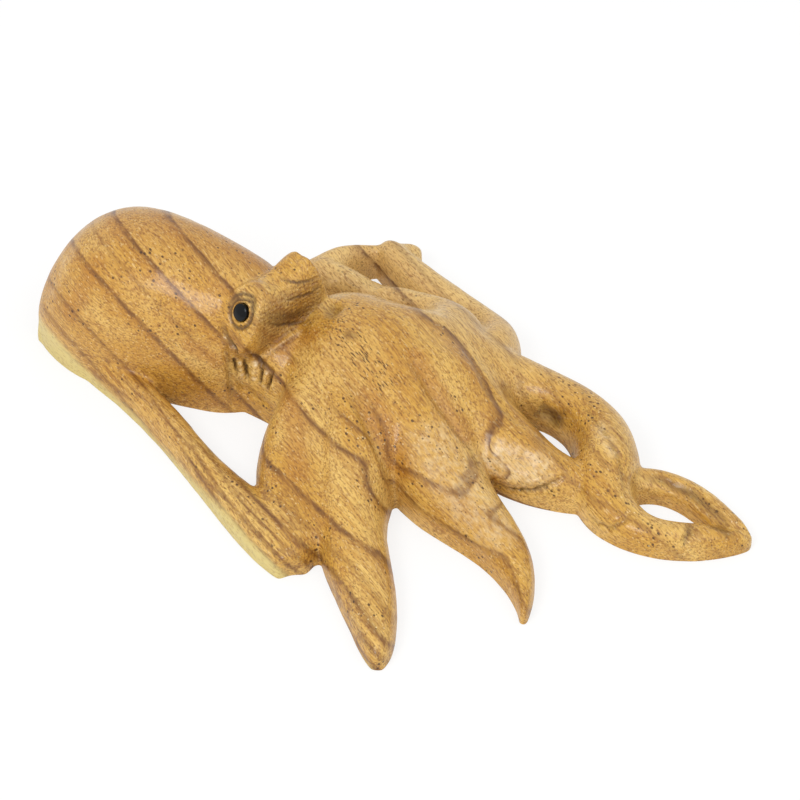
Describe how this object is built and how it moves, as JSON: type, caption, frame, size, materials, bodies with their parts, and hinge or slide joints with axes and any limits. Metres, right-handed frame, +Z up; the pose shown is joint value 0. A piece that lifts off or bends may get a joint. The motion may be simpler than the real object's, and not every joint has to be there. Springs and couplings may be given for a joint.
{
  "type": "octopus figurine",
  "caption": "Carved hardwood octopus ornament lying on a flat underside, with a tall mantle, a raised eye bar, folded and twisted arms and black inlaid eyes.",
  "frame": {"origin": "on the table plane, under the middle of the carving's box in plan", "axes": "+X from the rear of the mantle to the tip of the twisted front arms, +Y to the animal's left, +Z up from the flat underside"},
  "size_m": [0.2016, 0.141, 0.0387],
  "materials": {
    "carved_wood": "satin varnish over hand-carved tropical hardwood, with a pale sapwood edge at the foot",
    "eye_inlay": "polished black"
  },
  "bodies": {
    "root": {"carved_body": "carved_wood", "left_eye_inlay": "eye_inlay", "right_eye_inlay": "eye_inlay"}
  },
  "joints": []
}
